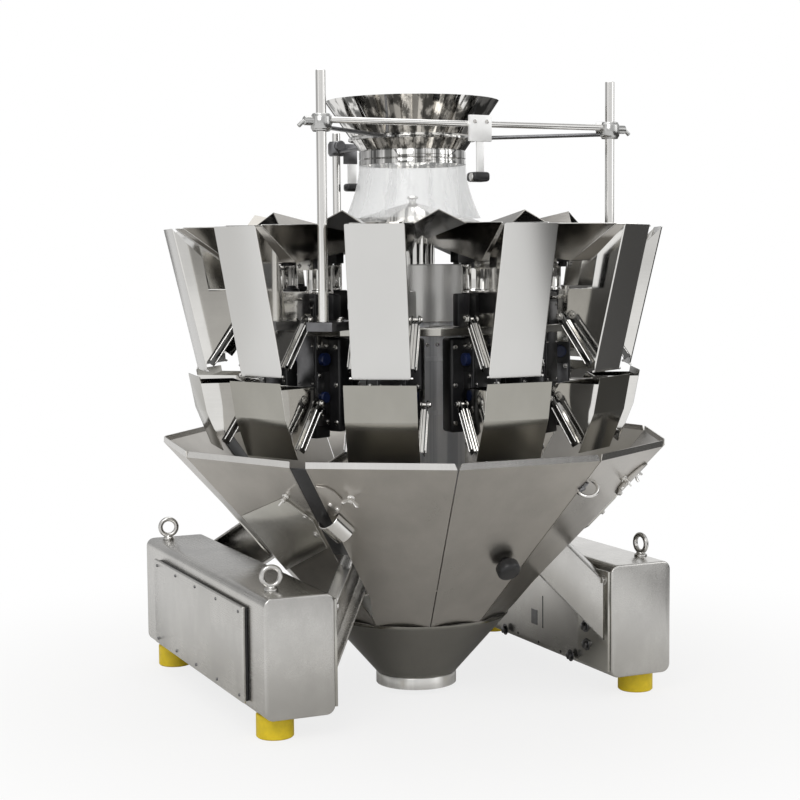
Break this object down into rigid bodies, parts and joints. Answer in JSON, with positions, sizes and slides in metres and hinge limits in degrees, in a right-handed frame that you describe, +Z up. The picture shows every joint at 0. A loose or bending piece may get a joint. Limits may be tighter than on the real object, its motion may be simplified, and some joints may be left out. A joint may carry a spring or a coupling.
{
  "type": "multihead weigher",
  "caption": "Combination weigher: infeed funnel over a ring of feeder pans, two rings of hoppers with hinged doors, a faceted chute and two long base boxes.",
  "frame": {"origin": "on the floor, at the centre of the machine's outline", "axes": "+Z up, -Y towards the front, +X to the right as the machine is seen from its front"},
  "size_m": [1.0492, 1.044, 1.26],
  "materials": {
    "stainless": "brushed",
    "foot_yellow": "matte",
    "clear_plastic": "clear"
  },
  "bodies": {
    "machine": {"body_frame": "stainless", "feeder_ring": "stainless", "dispersion_cone": "stainless", "collection_chute": "stainless", "discharge_funnel": "stainless", "base_left": "stainless", "base_right": "stainless", "cover_left": "stainless", "cover_right": "stainless", "foot_front_left": "foot_yellow", "foot_front_right": "foot_yellow", "foot_rear_left": "foot_yellow", "foot_rear_right": "foot_yellow", "infeed_stand": "stainless", "infeed_funnel": "stainless", "infeed_skirt": "clear_plastic", "feed_hopper_01": "stainless", "feed_hopper_02": "stainless", "feed_hopper_03": "stainless", "feed_hopper_04": "stainless", "feed_hopper_05": "stainless", "feed_hopper_06": "stainless", "feed_hopper_07": "stainless", "feed_hopper_08": "stainless", "feed_hopper_09": "stainless", "feed_hopper_10": "stainless", "feed_hopper_11": "stainless", "weigh_hopper_01": "stainless", "weigh_hopper_02": "stainless", "weigh_hopper_03": "stainless", "weigh_hopper_04": "stainless", "weigh_hopper_05": "stainless", "weigh_hopper_06": "stainless", "weigh_hopper_07": "stainless", "weigh_hopper_08": "stainless", "weigh_hopper_09": "stainless", "weigh_hopper_10": "stainless", "weigh_hopper_11": "stainless"},
    "feed_door_01": {"feed_door_01": "stainless"},
    "feed_door_02": {"feed_door_02": "stainless"},
    "feed_door_03": {"feed_door_03": "stainless"},
    "feed_door_04": {"feed_door_04": "stainless"},
    "feed_door_05": {"feed_door_05": "stainless"},
    "feed_door_06": {"feed_door_06": "stainless"},
    "feed_door_07": {"feed_door_07": "stainless"},
    "feed_door_08": {"feed_door_08": "stainless"},
    "feed_door_09": {"feed_door_09": "stainless"},
    "feed_door_10": {"feed_door_10": "stainless"},
    "feed_door_11": {"feed_door_11": "stainless"},
    "weigh_door_01": {"weigh_door_01": "stainless"},
    "weigh_door_02": {"weigh_door_02": "stainless"},
    "weigh_door_03": {"weigh_door_03": "stainless"},
    "weigh_door_04": {"weigh_door_04": "stainless"},
    "weigh_door_05": {"weigh_door_05": "stainless"},
    "weigh_door_06": {"weigh_door_06": "stainless"},
    "weigh_door_07": {"weigh_door_07": "stainless"},
    "weigh_door_08": {"weigh_door_08": "stainless"},
    "weigh_door_09": {"weigh_door_09": "stainless"},
    "weigh_door_10": {"weigh_door_10": "stainless"},
    "weigh_door_11": {"weigh_door_11": "stainless"}
  },
  "joints": [
    {"name": "feed_door_01_hinge", "type": "hinge", "parent": "machine", "child": "feed_door_01", "pos_m": [0, -0.385, 0.795], "axis": [1, 0, 0], "range_deg": [0, 45]},
    {"name": "feed_door_02_hinge", "type": "hinge", "parent": "machine", "child": "feed_door_02", "pos_m": [0.20382, -0.32515, 0.795], "axis": [0.8413, 0.5406, 0], "range_deg": [0, 45]},
    {"name": "feed_door_03_hinge", "type": "hinge", "parent": "machine", "child": "feed_door_03", "pos_m": [0.34293, -0.16461, 0.795], "axis": [0.4154, 0.9096, 0], "range_deg": [0, 45]},
    {"name": "feed_door_04_hinge", "type": "hinge", "parent": "machine", "child": "feed_door_04", "pos_m": [0.37316, 0.04565, 0.795], "axis": [-0.1423, 0.9898, 0], "range_deg": [0, 45]},
    {"name": "feed_door_05_hinge", "type": "hinge", "parent": "machine", "child": "feed_door_05", "pos_m": [0.28492, 0.23888, 0.795], "axis": [-0.6549, 0.7557, 0], "range_deg": [0, 45]},
    {"name": "feed_door_06_hinge", "type": "hinge", "parent": "machine", "child": "feed_door_06", "pos_m": [0.10621, 0.35373, 0.795], "axis": [-0.9595, 0.2817, 0], "range_deg": [0, 45]},
    {"name": "feed_door_07_hinge", "type": "hinge", "parent": "machine", "child": "feed_door_07", "pos_m": [-0.10621, 0.35373, 0.795], "axis": [-0.9595, -0.2817, 0], "range_deg": [0, 45]},
    {"name": "feed_door_08_hinge", "type": "hinge", "parent": "machine", "child": "feed_door_08", "pos_m": [-0.28492, 0.23888, 0.795], "axis": [-0.6549, -0.7557, 0], "range_deg": [0, 45]},
    {"name": "feed_door_09_hinge", "type": "hinge", "parent": "machine", "child": "feed_door_09", "pos_m": [-0.37316, 0.04565, 0.795], "axis": [-0.1423, -0.9898, 0], "range_deg": [0, 45]},
    {"name": "feed_door_10_hinge", "type": "hinge", "parent": "machine", "child": "feed_door_10", "pos_m": [-0.34293, -0.16461, 0.795], "axis": [0.4154, -0.9096, 0], "range_deg": [0, 45]},
    {"name": "feed_door_11_hinge", "type": "hinge", "parent": "machine", "child": "feed_door_11", "pos_m": [-0.20382, -0.32515, 0.795], "axis": [0.8413, -0.5406, 0], "range_deg": [0, 45]},
    {"name": "weigh_door_01_hinge", "type": "hinge", "parent": "machine", "child": "weigh_door_01", "pos_m": [0, -0.37, 0.634], "axis": [1, 0, 0], "range_deg": [0, 45]},
    {"name": "weigh_door_02_hinge", "type": "hinge", "parent": "machine", "child": "weigh_door_02", "pos_m": [0.19571, -0.31253, 0.634], "axis": [0.8413, 0.5406, 0], "range_deg": [0, 45]},
    {"name": "weigh_door_03_hinge", "type": "hinge", "parent": "machine", "child": "weigh_door_03", "pos_m": [0.32929, -0.15838, 0.634], "axis": [0.4154, 0.9096, 0], "range_deg": [0, 45]},
    {"name": "weigh_door_04_hinge", "type": "hinge", "parent": "machine", "child": "weigh_door_04", "pos_m": [0.35832, 0.04352, 0.634], "axis": [-0.1423, 0.9898, 0], "range_deg": [0, 45]},
    {"name": "weigh_door_05_hinge", "type": "hinge", "parent": "machine", "child": "weigh_door_05", "pos_m": [0.27358, 0.22906, 0.634], "axis": [-0.6549, 0.7557, 0], "range_deg": [0, 45]},
    {"name": "weigh_door_06_hinge", "type": "hinge", "parent": "machine", "child": "weigh_door_06", "pos_m": [0.10199, 0.33934, 0.634], "axis": [-0.9595, 0.2817, 0], "range_deg": [0, 45]},
    {"name": "weigh_door_07_hinge", "type": "hinge", "parent": "machine", "child": "weigh_door_07", "pos_m": [-0.10199, 0.33934, 0.634], "axis": [-0.9595, -0.2817, 0], "range_deg": [0, 45]},
    {"name": "weigh_door_08_hinge", "type": "hinge", "parent": "machine", "child": "weigh_door_08", "pos_m": [-0.27358, 0.22906, 0.634], "axis": [-0.6549, -0.7557, 0], "range_deg": [0, 45]},
    {"name": "weigh_door_09_hinge", "type": "hinge", "parent": "machine", "child": "weigh_door_09", "pos_m": [-0.35832, 0.04352, 0.634], "axis": [-0.1423, -0.9898, 0], "range_deg": [0, 45]},
    {"name": "weigh_door_10_hinge", "type": "hinge", "parent": "machine", "child": "weigh_door_10", "pos_m": [-0.32929, -0.15838, 0.634], "axis": [0.4154, -0.9096, 0], "range_deg": [0, 45]},
    {"name": "weigh_door_11_hinge", "type": "hinge", "parent": "machine", "child": "weigh_door_11", "pos_m": [-0.19571, -0.31253, 0.634], "axis": [0.8413, -0.5406, 0], "range_deg": [0, 45]}
  ]
}
